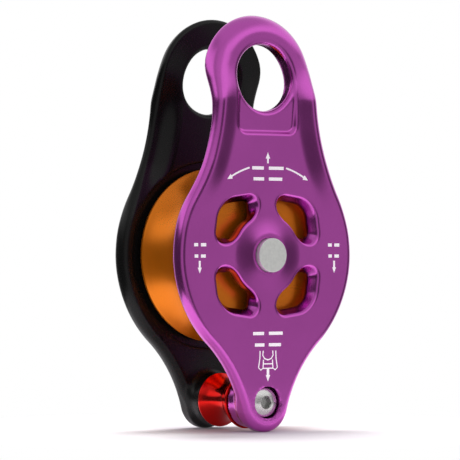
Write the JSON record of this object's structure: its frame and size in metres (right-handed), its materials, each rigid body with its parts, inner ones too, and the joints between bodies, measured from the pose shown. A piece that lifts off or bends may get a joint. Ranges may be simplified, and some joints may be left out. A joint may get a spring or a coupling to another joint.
{
  "type": "rope pulley",
  "caption": "Double-cheek rope pulley with a grooved sheave on a roller bearing, a round hanging eye at the top and a becket bobbin on a screw at the bottom.",
  "frame": {"origin": "centre of the sheave, in the middle of its groove", "axes": "+Z towards the hanging eye, +Y along the sheave's axle towards the rear cheek plate, +X to the right seen from the front"},
  "size_m": [0.077, 0.0484, 0.1498],
  "materials": {
    "purple_anodised": "satin purple anodised",
    "black_anodised": "satin black anodised",
    "orange_anodised": "satin orange anodised",
    "red_anodised": "bright red anodised",
    "bright_steel": "fine turned stainless steel",
    "bearing_steel": "ground bearing steel",
    "cage_brass": "machined brass",
    "bronze": "sintered bronze",
    "black_rubber": "matte"
  },
  "bodies": {
    "frame": {"front_plate": "purple_anodised", "rear_plate": "black_anodised", "axle": "bright_steel", "axle_rear_collar": "bright_steel", "bearing_inner_sleeve": "bearing_steel", "front_thrust_washer": "bronze", "rear_thrust_washer": "bronze", "becket_nut": "bright_steel", "spacer_sleeve": "bearing_steel"},
    "sheave": {"sheave": "orange_anodised", "bearing_outer_shell": "bearing_steel", "front_seal": "black_rubber", "rear_seal": "black_rubber"},
    "roller_cage": {"roller_cage": "cage_brass"},
    "screw_seal_washer": {"screw_seal_washer": "black_rubber"},
    "becket_screw": {"becket_screw": "bright_steel"},
    "bobbin": {"bobbin": "red_anodised", "front_bobbin_bush": "bronze", "rear_bobbin_bush": "bronze"},
    "roller_1": {"roller_1": "bearing_steel"},
    "roller_2": {"roller_2": "bearing_steel"},
    "roller_3": {"roller_3": "bearing_steel"},
    "roller_4": {"roller_4": "bearing_steel"},
    "roller_5": {"roller_5": "bearing_steel"},
    "roller_6": {"roller_6": "bearing_steel"},
    "roller_7": {"roller_7": "bearing_steel"},
    "roller_8": {"roller_8": "bearing_steel"},
    "roller_9": {"roller_9": "bearing_steel"},
    "roller_10": {"roller_10": "bearing_steel"},
    "roller_11": {"roller_11": "bearing_steel"},
    "roller_12": {"roller_12": "bearing_steel"}
  },
  "joints": [
    {"name": "sheave_spin", "type": "hinge", "parent": "frame", "child": "sheave", "pos_m": [0, 0, 0], "axis": [0, 1, 0], "continuous": true},
    {"name": "cage_spin", "type": "hinge", "parent": "frame", "child": "roller_cage", "pos_m": [0, 0, 0], "axis": [0, 1, 0], "continuous": true},
    {"name": "bobbin_spin", "type": "hinge", "parent": "frame", "child": "bobbin", "pos_m": [0, 0, -0.0528], "axis": [0, 1, 0], "continuous": true},
    {"name": "screw_travel", "type": "slide", "parent": "frame", "child": "screw_seal_washer", "axis": [0, -1, 0], "range_m": [0, 0.008]},
    {"name": "screw_turn", "type": "hinge", "parent": "screw_seal_washer", "child": "becket_screw", "pos_m": [0, 0, -0.0528], "axis": [0, -1, 0], "range_deg": [0, 2880]},
    {"name": "roller_1_spin", "type": "hinge", "parent": "roller_cage", "child": "roller_1", "pos_m": [0.0095, 0, 0], "axis": [0, 1, 0], "continuous": true},
    {"name": "roller_2_spin", "type": "hinge", "parent": "roller_cage", "child": "roller_2", "pos_m": [0.00823, 0, 0.00475], "axis": [0, 1, 0], "continuous": true},
    {"name": "roller_3_spin", "type": "hinge", "parent": "roller_cage", "child": "roller_3", "pos_m": [0.00475, 0, 0.00823], "axis": [0, 1, 0], "continuous": true},
    {"name": "roller_4_spin", "type": "hinge", "parent": "roller_cage", "child": "roller_4", "pos_m": [0, 0, 0.0095], "axis": [0, 1, 0], "continuous": true},
    {"name": "roller_5_spin", "type": "hinge", "parent": "roller_cage", "child": "roller_5", "pos_m": [-0.00475, 0, 0.00823], "axis": [0, 1, 0], "continuous": true},
    {"name": "roller_6_spin", "type": "hinge", "parent": "roller_cage", "child": "roller_6", "pos_m": [-0.00823, 0, 0.00475], "axis": [0, 1, 0], "continuous": true},
    {"name": "roller_7_spin", "type": "hinge", "parent": "roller_cage", "child": "roller_7", "pos_m": [-0.0095, 0, 0], "axis": [0, 1, 0], "continuous": true},
    {"name": "roller_8_spin", "type": "hinge", "parent": "roller_cage", "child": "roller_8", "pos_m": [-0.00823, 0, -0.00475], "axis": [0, 1, 0], "continuous": true},
    {"name": "roller_9_spin", "type": "hinge", "parent": "roller_cage", "child": "roller_9", "pos_m": [-0.00475, 0, -0.00823], "axis": [0, 1, 0], "continuous": true},
    {"name": "roller_10_spin", "type": "hinge", "parent": "roller_cage", "child": "roller_10", "pos_m": [0, 0, -0.0095], "axis": [0, 1, 0], "continuous": true},
    {"name": "roller_11_spin", "type": "hinge", "parent": "roller_cage", "child": "roller_11", "pos_m": [0.00475, 0, -0.00823], "axis": [0, 1, 0], "continuous": true},
    {"name": "roller_12_spin", "type": "hinge", "parent": "roller_cage", "child": "roller_12", "pos_m": [0.00823, 0, -0.00475], "axis": [0, 1, 0], "continuous": true}
  ],
  "couplings": [
    {"joint": "cage_spin", "follows": "sheave_spin", "ratio": 0.57895},
    {"joint": "screw_turn", "follows": "screw_travel", "rad_per_m": 6283.2},
    {"joint": "roller_1_spin", "follows": "sheave_spin", "ratio": 3.0877},
    {"joint": "roller_2_spin", "follows": "sheave_spin", "ratio": 3.0877},
    {"joint": "roller_3_spin", "follows": "sheave_spin", "ratio": 3.0877},
    {"joint": "roller_4_spin", "follows": "sheave_spin", "ratio": 3.0877},
    {"joint": "roller_5_spin", "follows": "sheave_spin", "ratio": 3.0877},
    {"joint": "roller_6_spin", "follows": "sheave_spin", "ratio": 3.0877},
    {"joint": "roller_7_spin", "follows": "sheave_spin", "ratio": 3.0877},
    {"joint": "roller_8_spin", "follows": "sheave_spin", "ratio": 3.0877},
    {"joint": "roller_9_spin", "follows": "sheave_spin", "ratio": 3.0877},
    {"joint": "roller_10_spin", "follows": "sheave_spin", "ratio": 3.0877},
    {"joint": "roller_11_spin", "follows": "sheave_spin", "ratio": 3.0877},
    {"joint": "roller_12_spin", "follows": "sheave_spin", "ratio": 3.0877}
  ]
}
